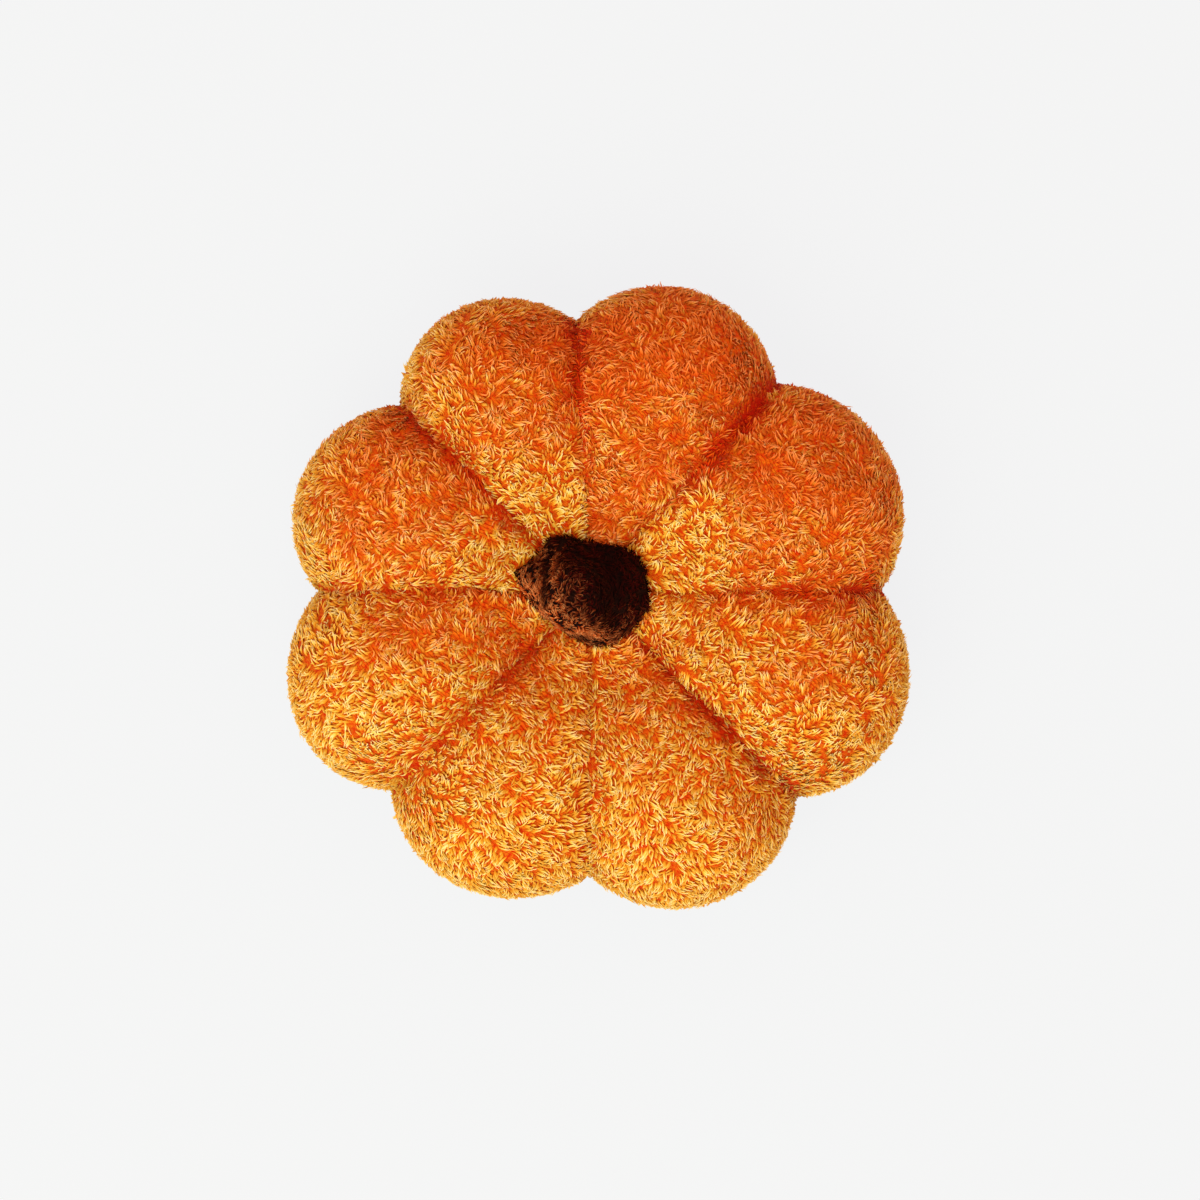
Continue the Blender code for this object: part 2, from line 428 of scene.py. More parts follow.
def place_on_lobes(points):
    """For each point: its lobe's index, its share of the way across it, and how far it is from the pole."""
    out = points[:, :2] - pole
    angle = np.arctan2(out[:, 1], out[:, 0]) % (2.0 * math.pi)
    lobe = np.searchsorted(SEAM_ANGLES, angle, side="right") - 1
    ends = np.append(SEAM_ANGLES[1:], 2.0 * math.pi)
    share = (angle - SEAM_ANGLES[lobe]) / (ends[lobe] - SEAM_ANGLES[lobe])
    return lobe, share, np.hypot(out[:, 0], out[:, 1])


def seam_distance(points):
    """How far each point is from the upright plane of the nearest seam."""
    out = points[:, :2] - pole
    angle = np.arctan2(out[:, 1], out[:, 0])
    turned = np.abs((angle[:, None] - SEAM_ANGLES[None, :] + math.pi) % (2.0 * math.pi) - math.pi)
    nearest = np.minimum(turned.min(axis=1), 0.5 * math.pi)
    return np.hypot(out[:, 0], out[:, 1]) * np.sin(nearest)


def seam_strength(points):
    """How strongly the seam nearest to each point shows, from 0 to 1."""
    lobe, share, radius = place_on_lobes(points)
    seam = np.where(share < 0.5, lobe, (lobe + 1) % len(LOBES))
    inside, outside = (np.array([row[column] for row in LOBES])[seam] for column in (5, 6))
    outward = np.clip((radius - OPEN_FROM) / (OPEN_TO - OPEN_FROM), 0.0, 1.0)
    return (inside + (outside - inside) * outward) * np.clip(radius / OPEN_FROM, 0.0, 1.0)


def seam_gap_shade(points):
    """How open the nearest seam is at each point, from 0 to 1, and nothing far from a seam; also how strong its
    painted shade is.
    """
    width = OPEN_WIDTH * (1.0 + 0.45 * drift(points, OPEN_PITCH, 16))
    gap = seam_distance(points) / np.maximum(width, 1.0 * MM)
    return seam_strength(points) * np.exp(-(gap ** 2))


def cloth_ways(points, normals, centre):
    """At each point the way down the meridian and the way round, both along the cloth."""
    out = points[:, :2] - centre
    angle = np.arctan2(out[:, 1], out[:, 0])
    around = np.stack([-np.sin(angle), np.cos(angle), np.zeros(len(angle))], axis=1)
    around -= normals * (around * normals).sum(axis=1)[:, None]
    around /= np.maximum(np.linalg.norm(around, axis=1), 1e-9)[:, None]
    return np.cross(around, normals), around


# %% [markdown]
# ## The cover
#
# The cover could be shaped by hand all over, but tight stuffed cloth is better found than drawn: Blender's cloth
# solver blows it up from inside while the seams are held. It starts a little smaller than it should end, and
# each point's travel is capped, so that it can't leave the frame. The seams are drawn in deeper than the rest,
# and the underside stays as flat as the surface that it lies on.

# %% Cover, blown up with the seams held
LOBE_COLUMNS = 12
COVER_ROWS = 46
PILE_DEPTH = 1.3 * MM
START_INSIDE = 2.0 * MM
MOST_TRAVEL = 5.0 * MM
SEAM_DRAW = 2.4 * MM
SEAM_SPREAD = 5.0 * MM
SEAM_WANDER = 1.3 * MM
SEAM_PITCH = 55.0 * MM
MIDDLE_CLEARING = 25.0 * MM
FLOOR_PILE = 1.5 * MM
INNER_HEIGHT = 0.060
CLOTH_FRAMES = 20
PRESSURE = 200.0
TENSION = 2.0
BENDING = 0.05
POINT_MASS = 0.02


def lobe_angles(columns):
    """The angles of the net's columns, crowded towards the seams."""
    angles = []
    ends = np.append(SEAM_ANGLES[1:], 2.0 * math.pi)
    for start, end in zip(SEAM_ANGLES, ends):
        shares = 0.5 + 0.5 * np.sin(math.pi * (np.arange(columns) / columns - 0.5))
        angles.extend(start + (end - start) * shares)
    return angles


def blow_up(obj, held, pressure):
    """Runs the cloth solver on a mesh object whose held points don't move, and returns its points."""
    group = obj.vertex_groups.new(name="held")
    for index, weight in enumerate(held):
        if weight > 0.0:
            group.add([index], float(weight), "REPLACE")
    cloth = obj.modifiers.new("cloth", "CLOTH")
    settings = cloth.settings
    settings.quality = 6
    settings.mass = POINT_MASS
    settings.tension_stiffness = TENSION
    settings.compression_stiffness = TENSION
    settings.shear_stiffness = 0.4 * TENSION
    settings.bending_stiffness = BENDING
    settings.air_damping = 4.0
    settings.use_pressure = True
    settings.uniform_pressure_force = pressure
    settings.effector_weights.gravity = 0.0
    settings.vertex_group_mass = "held"
    cloth.point_cache.frame_end = CLOTH_FRAMES
    for step in range(1, CLOTH_FRAMES + 1):
        bpy.context.scene.frame_set(step)
    moved = obj.evaluated_get(bpy.context.evaluated_depsgraph_get())
    points = read_points(moved.data)[0]
    obj.modifiers.remove(cloth)
    obj.vertex_groups.remove(group)
    bpy.context.scene.frame_set(1)
    return points


def link(name, mesh, material):
    """A new object of a mesh with one material."""
    obj = bpy.data.objects.new(name, mesh)
    mesh.materials.append(material)
    bpy.context.scene.collection.objects.link(obj)
    return obj


body_net = cast_columns(
    "cushion_body", Vector((pole[0], pole[1], INNER_HEIGHT)), lobe_angles(LOBE_COLUMNS), COVER_ROWS
)
cover_mesh = net_mesh("plush_cover", body_net)
cover = link("plush_cover", cover_mesh, orange_ground)
outer, outward = read_points(cover_mesh)
from_seam = seam_distance(outer)
radius = np.hypot(*(outer[:, :2] - pole).T)
facing_up = np.clip(outward[:, 2], 0.0, 1.0)
drawn = SEAM_DRAW * seam_strength(outer) * (0.2 + 0.8 * facing_up) * np.exp(-((from_seam / SEAM_SPREAD) ** 2))
rest = outer - outward * (PILE_DEPTH + drawn)[:, None]
start = rest - outward * START_INSIDE * (1.0 - np.exp(-((from_seam / SEAM_SPREAD) ** 2)))[:, None]
write_points(cover_mesh, start)
held = (from_seam < 0.5 * MM).astype(float)
blown = blow_up(cover, held, PRESSURE)
travel = blown - start
distance = np.linalg.norm(travel, axis=1)
allowed = np.minimum(1.0, MOST_TRAVEL / np.maximum(distance, 1e-9))
settled = start + travel * allowed[:, None]
round_way = cloth_ways(outer, outward, pole)[1]
near_seam = np.exp(-((from_seam / (3.0 * SEAM_SPREAD)) ** 2)) * np.clip(radius / MIDDLE_CLEARING - 1.0, 0.0, 1.0)
settled += round_way * (SEAM_WANDER * near_seam * drift(outer, SEAM_PITCH, 15))[:, None]
settled[:, 2] = np.maximum(settled[:, 2], FLOOR_PILE)
write_points(cover_mesh, settled)
print("cover", len(settled), "points, travelled", (distance.mean() / MM).round(2), "mm, most", (distance.max() / MM).round(2))

# %% [markdown]
# One subdivision makes the lobes smooth. The seams are creased as strongly as they show, so that they stay as
# sharp as stitching makes them.

# %% Cover, subdivided


def subdivide(obj, creased):
    """Applies one subdivision to a mesh object, with its edges kept as sharp as creased says for their ends."""
    mesh = obj.data
    layer = mesh.attributes.new("crease_edge", "FLOAT", "EDGE")
    ends = np.zeros(len(mesh.edges) * 2, np.int32)
    mesh.edges.foreach_get("vertices", ends)
    ends = ends.reshape(-1, 2)
    sharp = np.minimum(creased[ends[:, 0]], creased[ends[:, 1]]).astype(np.float32)
    layer.data.foreach_set("value", sharp)
    obj.modifiers.new("subdivision", "SUBSURF").levels = 1
    finer = bpy.data.meshes.new_from_object(obj.evaluated_get(bpy.context.evaluated_depsgraph_get()))
    obj.modifiers.clear()
    name = mesh.name
    obj.data = finer
    bpy.data.meshes.remove(mesh)
    finer.name = name
    finer.attributes.remove(finer.attributes["crease_edge"])
    finer.shade_smooth()


subdivide(cover, held * seam_strength(outer))
# The ground gets painted seam shade, a darker red, as far as each seam is open.
gap_and_shade = cover.data.attributes.new(SEWN_MAP, "FLOAT", "POINT")
gap_and_shade.data.foreach_set("value", seam_gap_shade(read_points(cover.data)[0]).astype(np.float32))
print("cover", len(cover.data.polygons), "faces")

# %% [markdown]
# ## The pile
#
# Fur can be made with Blender's hair, but the exported model has to hold every lock, so the locks are meshes
# from the start, worked out all at once as arrays. A lock is a slim three-sided spindle, closed all round. It
# rises out of the cloth, bends over, and tapers to a tip. The outer ones have a curve of three steps, and
# shorter, fatter ones with two steps fill the space under them.
#
# Locks don't stand alone: neighbours cling together in tufts a few millimetres across, and their tips meet. A
# tuft is led by one lock, whose direction the rest of the tuft nearly shares.

# %% Sowing roots on a cloth


def sow(mesh, count, weigh, dice):
    """Spreads roots over a mesh, as many to an area as weigh asks for. Returns points and normals."""
    mesh.calc_loop_triangles()
    corners = np.zeros(len(mesh.loop_triangles) * 3, np.int32)
    mesh.loop_triangles.foreach_get("vertices", corners)
    corners = corners.reshape(-1, 3)
    points, normals = read_points(mesh)
    a, b, c = (points[corners[:, k]] for k in range(3))
    area = 0.5 * np.linalg.norm(np.cross(b - a, c - a), axis=1)
    share = area * weigh((a + b + c) / 3.0)
    ends = np.cumsum(share)
    wanted = (np.arange(count) + dice.random(count)) / count * ends[-1]
    chosen = np.minimum(np.searchsorted(ends, wanted), len(corners) - 1)
    u, v = dice.random(count), dice.random(count)
    over = u + v > 1.0
    u[over], v[over] = 1.0 - u[over], 1.0 - v[over]
    weights = np.stack([1.0 - u - v, u, v], axis=1)[:, :, None]
    roots = (points[corners[chosen]] * weights).sum(axis=1)
    leaning = (normals[corners[chosen]] * weights).sum(axis=1)
    return roots, leaning / np.linalg.norm(leaning, axis=1)[:, None]


# %% Tufts


def gather_tufts(roots, leaders):
    """For each root the index of the leader that is nearest to it, where every leaders-th root leads."""
    leading = np.arange(0, len(roots), leaders)
    tree = KDTree(len(leading))
    for index in leading:
        tree.insert(roots[index], int(index))
    tree.balance()
    return np.array([tree.find(root)[1] for root in roots])


# %% [markdown]
# One function turns arrays of roots, directions and sizes into the points, faces and chart places of all the
# locks. The locks of one call all have the same number of steps.

# %% Locks as arrays
RING_SIDES = 3
RIDGE = 2
FLATNESS = 0.45
RING_CHART = (0.10, 0.50, 0.90)
EDGE_DROP = 0.25
REDDER_ROWS = 9
CLOTH_SHARE = 0.25
EDGE_ROUNDING = 0.75


def make_locks(roots, normals, heading, side, length, width, lean, curl, steps, rings):
    """The points of spindle locks, their upper normals and their lower ones, as arrays of locks by points.

    heading and side are the lock's way along the cloth and the way across it. lean gives the angles from the
    normal at root and tip, and curl how far it turns sideways. rings gives each ring's share of the width.
    """
    spine = [roots - normals * 0.4 * MM]
    ways = []
    for step in range(steps):
        share = (step + 0.5) / steps
        tilt = lean[0] + (lean[1] - lean[0]) * share
        turn = curl * (share - 0.3)
        flat = heading * np.cos(turn)[:, None] + side * np.sin(turn)[:, None]
        way = normals * np.cos(tilt)[:, None] + flat * np.sin(tilt)[:, None]
        ways.append(way)
        spine.append(spine[-1] + way * (length / steps)[:, None])
    parts = [spine[0][:, None, :]]
    uppers, lowers = [normals[:, None, :]], [-normals[:, None, :]]
    for ring, share in enumerate(rings):
        way = ways[ring] + ways[ring + 1]
        way /= np.linalg.norm(way, axis=1)[:, None]
        across = np.cross(way, normals)
        across /= np.maximum(np.linalg.norm(across, axis=1), 1e-9)[:, None]
        outwards = np.cross(across, way)
        shade = CLOTH_SHARE * normals + (1.0 - CLOTH_SHARE) * outwards
        for corner in range(RING_SIDES):
            angle = 2.0 * math.pi * (corner + 0.25) / RING_SIDES
            offset = across * math.cos(angle) - outwards * (FLATNESS * math.sin(angle))
            parts.append((spine[ring + 1] + offset * (0.5 * width * share)[:, None])[:, None, :])
            aside = EDGE_ROUNDING * math.cos(angle) * across
            uppers.append((shade + aside)[:, None, :])
            lowers.append((aside - shade)[:, None, :])
    parts.append(spine[-1][:, None, :])
    uppers.append(shade[:, None, :])
    lowers.append(-shade[:, None, :])
    return [np.concatenate(part, axis=1) for part in (parts, uppers, lowers)]


def lock_faces(rings):
    """The triangles of one lock, by the places of its points, fronts outwards. The first third lies below."""
    faces = []
    tip = 1 + rings * RING_SIDES
    for corner in range(RING_SIDES):
        beside = (corner + 1) % RING_SIDES
        faces.append((0, 1 + beside, 1 + corner))
        for ring in range(rings - 1):
            low, high = 1 + ring * RING_SIDES, 1 + (ring + 1) * RING_SIDES
            faces.append((low + corner, low + beside, high + beside))
            faces.append((low + corner, high + beside, high + corner))
        last = 1 + (rings - 1) * RING_SIDES
        faces.append((last + corner, last + beside, tip))
    return np.array(faces)


def lock_chart(tone, warmth, along):
    """The chart places of locks: tone picks the column, warmth the row, and along the height in the cell."""
    column = np.clip((tone * TONE_CELLS).astype(int), 0, TONE_CELLS - 1)
    row = np.clip((warmth * WARMTH_CELLS).astype(int), 0, WARMTH_CELLS - 1)
    across = [0.5] + [RING_CHART[k % RING_SIDES] for k in range((len(along) - 2) * RING_SIDES)] + [0.5]
    # Painted shade and highlight: a lock's edges sit lower in its cell, nearer the root's red, than its ridge does.
    drops = [0.0 if corner == RIDGE else EDGE_DROP for corner in range(RING_SIDES)]
    up = [along[0]] + [max(share - drop, 0.0) for share in along[1:-1] for drop in drops] + [along[-1]]
    u = (column[:, None] + np.array(across)[None, :]) / TONE_CELLS
    v = (row[:, None] + CELL_MARGIN + (1.0 - 2.0 * CELL_MARGIN) * np.array(up)[None, :]) / WARMTH_CELLS
    return np.stack([u, v], axis=2)


def pile_mesh(name, batches):
    """One mesh of several batches of locks: arrays of points, upper and lower normals and charts, and the rings."""
    points, shades, charts, faces, first = [], [], [], [], 0
    for locks, upper, lower, chart, rings in batches:
        count, size = locks.shape[:2]
        starts = first + np.arange(count) * size
        pattern = lock_faces(rings)
        below = len(pattern) // RING_SIDES
        shade = np.concatenate((lower[:, pattern[:below]], upper[:, pattern[below:]]), axis=1)
        # Painted shade: the faces under each lock take a redder row of the chart, for the little, reddened light that
        # reaches them.
        row = np.floor(chart[:, :1, 1] * WARMTH_CELLS)
        shift = np.stack((np.zeros_like(row), np.minimum(row, REDDER_ROWS) / WARMTH_CELLS), axis=2)
        shaded_under_chart = np.concatenate(((chart - shift)[:, pattern[:below]], chart[:, pattern[below:]]), axis=1)
        faces.append((starts[:, None, None] + pattern[None]).reshape(-1, 3))
        points.append(locks.reshape(-1, 3))
        shades.append(shade.reshape(-1, 3))
        charts.append(shaded_under_chart.reshape(-1, 2))
        first += count * size
    points, shades, charts, faces = (np.concatenate(part) for part in (points, shades, charts, faces))
    shades /= np.linalg.norm(shades, axis=1)[:, None]
    mesh = bpy.data.meshes.new(name)
    mesh.vertices.add(len(points))
    mesh.vertices.foreach_set("co", points.astype(np.float32).ravel())
    mesh.loops.add(faces.size)
    mesh.loops.foreach_set("vertex_index", faces.astype(np.int32).ravel())
    mesh.polygons.add(len(faces))
    mesh.polygons.foreach_set("loop_start", np.arange(0, faces.size, 3, dtype=np.int32))
    layer = mesh.uv_layers.new(name=CHART_MAP)
    layer.uv.foreach_set("vector", charts.astype(np.float32).ravel())
    mesh.update(calc_edges=True)
    mesh.shade_smooth()
    directions = mesh.attributes.new("custom_normal", "FLOAT_VECTOR", "CORNER")
    directions.data.foreach_set("vector", shades.astype(np.float32).ravel())
    return mesh


# %% [markdown]
# ## The body's pile
#
# The pile is dense where it shows and thin underneath, where the cushion's weight presses it flat. Its length
# varies, and it is shorter right at the seams, where some of it is caught in the stitching.

# %% Pile of the body
BODY_OUTER_LOCKS = 35000
BODY_UNDER_LOCKS = 38000
LOCK_LENGTH = 6.8 * MM
LOCK_WIDTH = 1.15 * MM
TUFT_SIZE = 5
UNDERSIDE_SHARE = 0.30
UNDERSIDE_HEIGHT = 16.0 * MM
WARM_FROM = 45.0 * MM
WARM_TO = 95.0 * MM
# Painted sheen and painted shade on the steep sides of the body's pile: paler and darker there, up to a limit.
PAINTED_RIM_SHEEN = 1.1
MOST_STEEP = 0.55
PAINTED_RIM_SHADE = 0.36
SIDE_HEADING = 0.30
# Painted light: the pile on the side towards the key lamp is paler.
PAINTED_KEY_PALENESS = 0.52
ORANGE_SIDES = 0.60
LEAST_WARMTH = 0.25
# Painted light: locks near the stem are made lighter.
PAINTED_MIDDLE_LIGHT = 0.32
PAINTED_KEY_WAY = np.array([-0.40, -0.90, 0.0])
LOWEST_TIP = 0.3 * MM


def body_density(points):
    """How densely the pile stands: thin on the underside, full elsewhere."""
    shown = np.clip((points[:, 2] - 0.5 * UNDERSIDE_HEIGHT) / (0.5 * UNDERSIDE_HEIGHT), 0.0, 1.0)
    return UNDERSIDE_SHARE + (1.0 - UNDERSIDE_SHARE) * shown


def grow(roots, normals, heading_angle, centre, tufts, sizes, tone, warmth, along, rings, dice):
    """Locks on roots whose headings are angles from the way down the meridian: points, normals and charts."""
    down, around = cloth_ways(roots, normals, centre)
    count = len(roots)
    angle = heading_angle[tufts] + dice.normal(0.0, 0.42, count)[tufts] + dice.normal(0.0, 0.18, count)
    heading = down * np.cos(angle)[:, None] + around * np.sin(angle)[:, None]
    side = np.cross(normals, heading)
    length = sizes["length"] * np.clip(dice.normal(1.0, 0.20, count), 0.5, 1.6)
    width = sizes["width"] * np.clip(dice.normal(1.0, 0.25, count), 0.5, 1.7)
    lean = (
        np.clip(dice.normal(sizes["lean"][0], 0.16, count), 0.0, 1.2),
        np.clip(dice.normal(sizes["lean"][1], 0.18, count), 0.4, 1.75),
    )
    curl = dice.normal(0.0, sizes["curl"], count)[tufts] + dice.normal(0.0, 0.25, count)
    steps = len(rings) + 1
    locks, upper, lower = make_locks(roots, normals, heading, side, length, width, lean, curl, steps, rings)
    pull = sizes["cling"] * (locks[tufts, -1] - locks[:, -1])
    reach = np.array([0.0] + [share for share in along[1:-1] for _ in range(RING_SIDES)] + [1.0])
    locks = locks + pull[:, None, :] * (reach ** 2)[None, :, None]
    locks[:, :, 2] = np.maximum(locks[:, :, 2], LOWEST_TIP)
    return locks, upper, lower, lock_chart(tone, warmth, along)


def body_batch(count, seed, sizes, tone_range, rings, along):
    """One batch of the body's locks, with the lobe that each stands on."""
    dice = np.random.default_rng(seed)
    roots, normals = sow(cover.data, count, body_density, dice)
    lobe, share, radius = place_on_lobes(roots)
    nap = np.radians([row[1] for row in LOBES])[lobe]
    swirl = np.array([row[2] for row in LOBES])[lobe]
    warm_inside, warm_outside = (np.array([row[column] for row in LOBES])[lobe] for column in (3, 4))
    outward = np.clip((radius - WARM_FROM) / (WARM_TO - WARM_FROM), 0.0, 1.0)
    base_warmth = warm_inside + (warm_outside - warm_inside) * outward
    heading = nap + swirl * (1.1 * drift(roots, 60.0 * MM, 11) + 0.7 * drift(roots, 14.0 * MM, 12))
    heading *= np.clip(SIDE_HEADING + (1.0 - SIDE_HEADING) * 1.2 * normals[:, 2], SIDE_HEADING, 1.0)
    tufts = gather_tufts(roots, TUFT_SIZE)
    # How open the nearest seam is: it shortens the locks there, and as painted shade it makes them darker and redder.
    gap_and_shade = seam_gap_shade(roots)
    seam_cut = 1.0 - 0.35 * gap_and_shade
    spread = dice.normal(0.0, 0.18, count) + 0.14 * dice.normal(size=count)[tufts]
    # Painted light: locks near the stem are lighter, against the shade of the dimple and the stem; a slow drift adds
    # random patches of tone.
    middle_light_and_patches = PAINTED_MIDDLE_LIGHT * (1.0 - outward) + 0.08 * drift(roots, 45.0 * MM, 13)
    tone = np.clip(0.5 + spread + middle_light_and_patches, 0.0, 1.1)
    tone = np.clip(tone_range[0] + (tone_range[1] - tone_range[0]) * tone - 0.40 * gap_and_shade, 0.0, 0.999)
    # Painted shade: the steep sides are darker.
    steep = np.minimum((1.0 - normals[:, 2]).clip(0.0, 1.0) ** 1.5, MOST_STEEP)
    tone = np.clip(tone - PAINTED_RIM_SHADE * steep, 0.0, 0.999)
    # Painted light: the steep sides are paler, a painted sheen, and so is the side towards the key lamp. The lobe's
    # yellow from the table is mostly painted light too.
    pale = base_warmth + PAINTED_RIM_SHEEN * steep + PAINTED_KEY_PALENESS * (normals @ PAINTED_KEY_WAY)
    # Below the rim the painted paleness is cut back, so the sides that face down stay orange.
    below = np.clip((0.20 - normals[:, 2]) / 0.50, 0.0, 1.0)
    pale *= 1.0 - ORANGE_SIDES * below
    tint = 0.16 * dice.normal(size=count) + 0.10 * dice.normal(size=count)[tufts] + 0.12 * drift(roots, 50.0 * MM, 14)
    warmth = np.clip(np.maximum(pale + tint, LEAST_WARMTH) - 0.7 * gap_and_shade, 0.0, 0.999)
    fitted = dict(sizes, length=sizes["length"] * seam_cut)
    return lobe, *grow(roots, normals, heading, pole, tufts, fitted, tone, warmth, along, rings, dice)


outer_sizes = {"length": LOCK_LENGTH, "width": LOCK_WIDTH, "lean": (1.08, 1.48), "curl": 1.1, "cling": 0.3}
under_sizes = {"length": 0.75 * LOCK_LENGTH, "width": 1.8 * LOCK_WIDTH, "lean": (0.95, 1.38), "curl": 0.7, "cling": 0.15}
# The under locks have a darker range of tone, as painted shade beneath the outer ones.
outer_batch = body_batch(BODY_OUTER_LOCKS, 21, outer_sizes, (0.80, 1.0), (0.85, 1.0, 0.70), (0.0, 0.40, 0.70, 0.90, 1.0))
under_batch = body_batch(BODY_UNDER_LOCKS, 22, under_sizes, (0.50, 0.84), (1.0,), (0.0, 0.45, 0.70))

body_pile = []
for index in range(len(LOBES)):
    batches = []
    for (lobe, *arrays), rings in ((outer_batch, 3), (under_batch, 1)):
        batches.append((*(array[lobe == index] for array in arrays), rings))
    name = f"pile_lobe_{index + 1}"
    body_pile.append(link(name, pile_mesh(name, batches), orange_pile))
print("body pile", [len(piece.data.polygons) for piece in body_pile], "faces")

# %% [markdown]
# ## The stem
#
# The stem is a second stuffed piece. It is small, so its cover is read straight from its solid, one short pile's
# depth inside it. Its foot ends in a pointed corner on the left, and folds run round its top, where it was pressed
# over. Its pile is shorter, finer and curlier, and much darker.

# %% Stem cover
STEM_COLUMNS = 72
STEM_ROWS = 24
STEM_PILE_DEPTH = 2.4 * MM
STEM_INNER_SHARE = 0.35
FOLD_DEPTH = 4.0 * MM
FOLDS = (
    # start_x, start_y, end_x, end_y, width, in millimetres from the pole
    (-22.0, 28.0, -26.0, -8.0, 2.2),
    (11.0, 22.0, 13.5, -16.0, 5.0),
    (-16.0, -23.0, 4.0, -30.0, 2.2),
)
POINT_ANGLE = math.radians(165.0)
POINT_SPREAD = math.radians(9.0)
POINT_REACH = 4.5 * MM
POINT_PINCH = 3.0 * MM


def fold_share(points):
    """How near each point is, in plan, to one of the stem's folds: 1 on it, 0 well away from it."""
    share = np.zeros(len(points))
    for start_x, start_y, end_x, end_y, width in FOLDS:
        start = pole + np.array([start_x, start_y]) * MM
        along = np.array([end_x - start_x, end_y - start_y]) * MM
        place = np.clip((points[:, :2] - start) @ along / (along @ along), 0.0, 1.0)
        gap = np.linalg.norm(points[:, :2] - start - place[:, None] * along, axis=1)
        share = np.maximum(share, np.exp(-((gap / (width * MM)) ** 2)))
    return share


def pinch(points, middle):
    """Draws the foot's left corner out to a point and pinches the cloth on both sides of it."""
    out = points[:, :2] - middle
    angle = np.arctan2(out[:, 1], out[:, 0]) - POINT_ANGLE
    angle = (angle + math.pi) % (2.0 * math.pi) - math.pi
    low = np.clip(1.0 - (points[:, 2] - stem_low.z) / (22.0 * MM), 0.0, 1.0)
    push = POINT_REACH * np.exp(-((angle / POINT_SPREAD) ** 2))
    push -= POINT_PINCH * np.exp(-(((np.abs(angle) - 2.6 * POINT_SPREAD) / (1.3 * POINT_SPREAD)) ** 2))
    way = out / np.linalg.norm(out, axis=1)[:, None].clip(1e-6)
    moved = points.copy()
    moved[:, :2] += way * (push * low)[:, None]
    return moved


stem_middle = Vector((pole[0], pole[1], stem_low.z + STEM_INNER_SHARE * (stem_high.z - stem_low.z)))
stem_angles = np.linspace(0.0, 2.0 * math.pi, STEM_COLUMNS, endpoint=False)
stem_mesh = net_mesh("stem_cover", cast_columns("stem", stem_middle, stem_angles, STEM_ROWS))
stem_cover = link("stem_cover", stem_mesh, brown_ground)
stem_outer, stem_outward = read_points(stem_mesh)
folded = STEM_PILE_DEPTH + FOLD_DEPTH * fold_share(stem_outer) * np.clip(stem_outward[:, 2], 0.0, 1.0)
write_points(stem_mesh, pinch(stem_outer - stem_outward * folded[:, None], np.array(stem_middle)[:2]))
subdivide(stem_cover, np.zeros(len(stem_outer)))
print("stem cover", len(stem_cover.data.polygons), "faces")

# %% Pile of the stem
STEM_LOCKS = 6400
STEM_LOCK_LENGTH = 4.6 * MM
STEM_LOCK_WIDTH = 0.95 * MM
LIT_SIDE = np.array([-0.80, -0.58, -0.22])


def stem_density(points):
    """The stem's pile is even, and thin on its sole."""
    return np.where(points[:, 2] < stem_low.z + 4.0 * MM, 0.3, 1.0)


def stem_batch(count, seed):
    """The stem's locks."""
    dice = np.random.default_rng(seed)
    roots, normals = sow(stem_cover.data, count, stem_density, dice)
    heading = math.pi + 1.4 * drift(roots, 30.0 * MM, 31) + 0.8 * drift(roots, 9.0 * MM, 32)
    tufts = gather_tufts(roots, TUFT_SIZE)
    # Painted light and shade: locks on the side towards the key lamp are lighter and yellower, and those in the folds
    # darker and redder.
    facing = normals @ LIT_SIDE
    fold = fold_share(roots)
    tone = np.clip(0.65 + 0.50 * facing - 0.80 * fold + dice.normal(0.0, 0.15, count), 0.0, 0.999)
    warmth = np.clip(0.38 + 0.80 * facing - 0.45 * fold + dice.normal(0.0, 0.18, count), 0.0, 0.999)
    sizes = {"length": STEM_LOCK_LENGTH, "width": STEM_LOCK_WIDTH, "lean": (0.9, 1.5), "curl": 1.3, "cling": 0.3}
    rings, along = (1.0, 0.75), (0.0, 0.40, 0.75, 1.0)
    return grow(roots, normals, heading, np.array(stem_middle)[:2], tufts, sizes, tone, warmth, along, rings, dice)


stem_pile = link("pile_stem", pile_mesh("pile_stem", [(*stem_batch(STEM_LOCKS, 41), 2)]), brown_pile)
print("stem pile", len(stem_pile.data.polygons), "faces")

# %% [markdown]
# ## What stands for what
#
# The covers stand for the two solids, and every piece rides on the one body.

# %% Frame calls
for piece in (cover, *body_pile):
    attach(piece, "root")
for piece in (stem_cover, stem_pile):
    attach(piece, "root")
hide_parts("cushion_body")
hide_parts("stem")

# %% [markdown]
# ## Floor and light
#
# The photograph's ground is an even, nearly white grey with hardly a shadow, as on a light table. So the floor
# glows a little by itself, which thins the shadow. The key light stands low at the lower left of the picture,
# large enough to be soft.

# %% Floor
FLOOR_SIDE = 12.0
FLOOR_GLOW = 0.855
FLOOR_TINT = (0.965, 0.982, 1.0, 1.0)
FLOOR_REFLECTS = 0.06

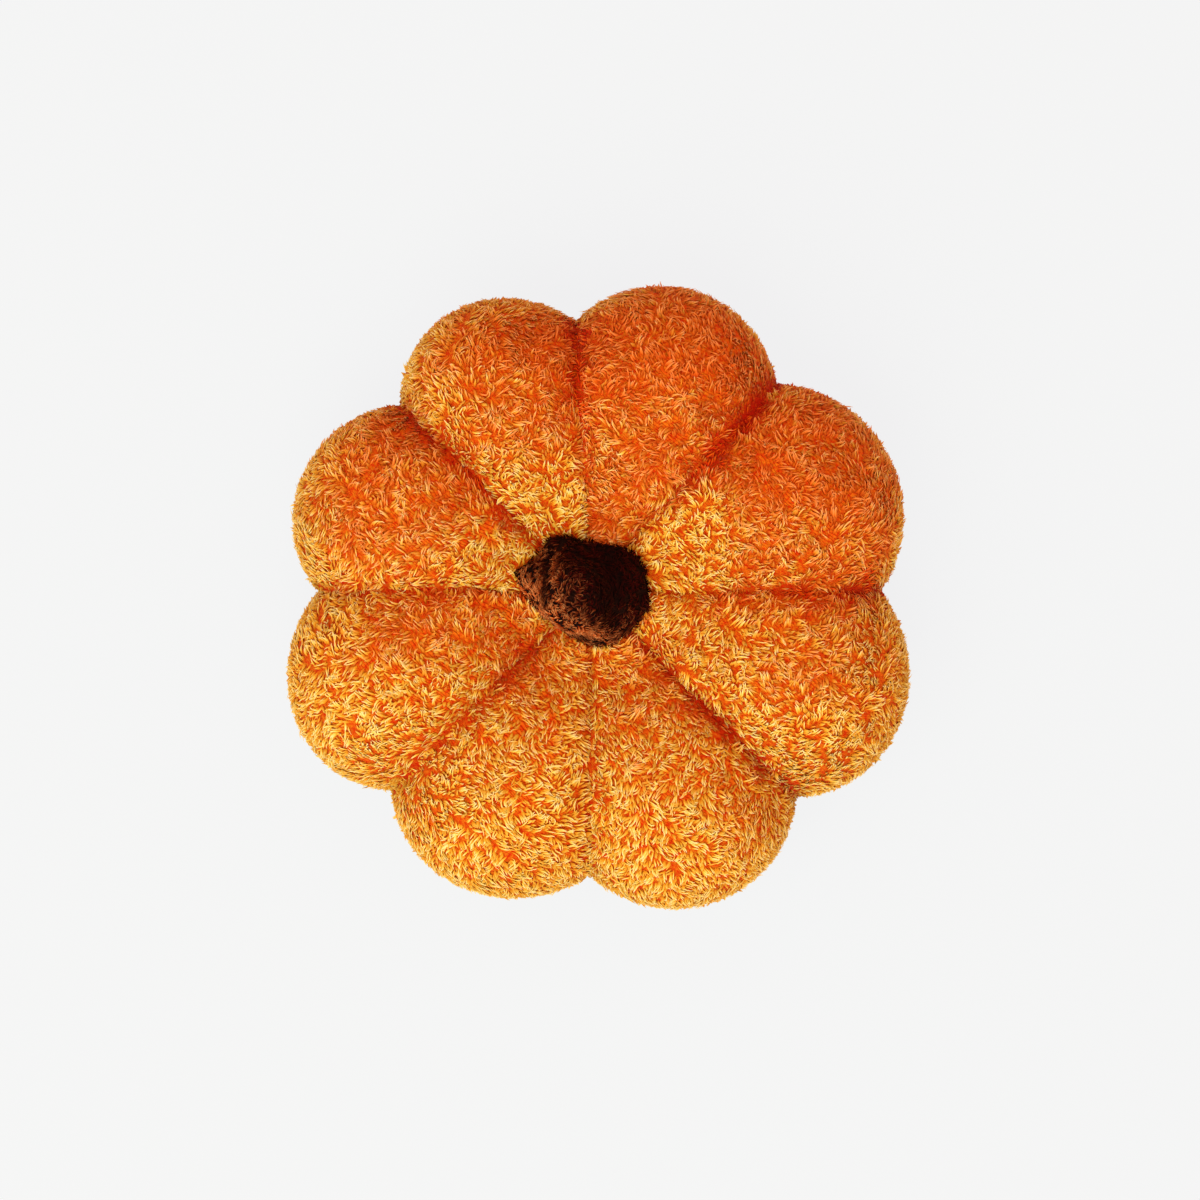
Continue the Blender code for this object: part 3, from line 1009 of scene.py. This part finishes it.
floor_mesh = bpy.data.meshes.new("floor")
half = 0.5 * FLOOR_SIDE
floor_mesh.from_pydata(
    [(-half, -half, 0.0), (half, -half, 0.0), (half, half, 0.0), (-half, half, 0.0)], [], [(0, 1, 2, 3)]
)
floor_material = bpy.data.materials.new("light table")
floor_material.use_nodes = True
floor_shader = floor_material.node_tree.nodes["Principled BSDF"]
floor_shader.inputs["Base Color"].default_value = (FLOOR_REFLECTS, FLOOR_REFLECTS, FLOOR_REFLECTS, 1.0)
floor_shader.inputs["Roughness"].default_value = 1.0
floor_shader.inputs["Specular IOR Level"].default_value = 0.0
floor_shader.inputs["Emission Color"].default_value = FLOOR_TINT
floor_shader.inputs["Emission Strength"].default_value = FLOOR_GLOW
floor = link("floor", floor_mesh, floor_material)

# %% Lights
KEY_POWER = 80.0
KEY_COLOUR = (0.81, 1.0, 0.85)
KEY_SIZE = 2.6
KEY_DISTANCE = 3.0
KEY_TURN = math.radians(240.0)
KEY_RISE = math.radians(54.0)
SKY_STRENGTH = 0.98
SKY_COLOUR = (1.0, 0.66, 0.44, 1.0)
BACKDROP_COLOUR = (0.91, 0.91, 0.91, 1.0)


def aim_lamp(name, turn, rise, distance, size, power, colour):
    """A square lamp that looks at the cushion from a compass angle and a height angle."""
    data = bpy.data.lights.new(name, "AREA")
    data.shape = "SQUARE"
    data.size = size
    data.energy = power
    data.color = colour
    lamp = bpy.data.objects.new(name, data)
    level = math.cos(rise)
    way = Vector((level * math.cos(turn), level * math.sin(turn), math.sin(rise)))
    lamp.location = way * distance
    lamp.rotation_euler = way.to_track_quat("Z", "Y").to_euler()
    bpy.context.scene.collection.objects.link(lamp)
    return lamp


aim_lamp("key", KEY_TURN, KEY_RISE, KEY_DISTANCE, KEY_SIZE, KEY_POWER, KEY_COLOUR)
world = bpy.data.worlds.new("studio")
bpy.context.scene.world = world
world.use_nodes = True
sky = world.node_tree.nodes["Background"]
sky.inputs["Color"].default_value = SKY_COLOUR
sky.inputs["Strength"].default_value = SKY_STRENGTH
backdrop = add_node(world.node_tree, "ShaderNodeBackground", inputs={"Color": BACKDROP_COLOUR, "Strength": 1.0})
seen = add_node(world.node_tree, "ShaderNodeLightPath").outputs["Is Camera Ray"]
shown = add_node(
    world.node_tree,
    "ShaderNodeMixShader",
    inputs={0: seen, 1: sky.outputs["Background"], 2: backdrop.outputs["Background"]},
)
world.node_tree.links.new(shown.outputs["Shader"], world.node_tree.nodes["World Output"].inputs["Surface"])
bpy.context.scene.view_settings.view_transform = "Standard"
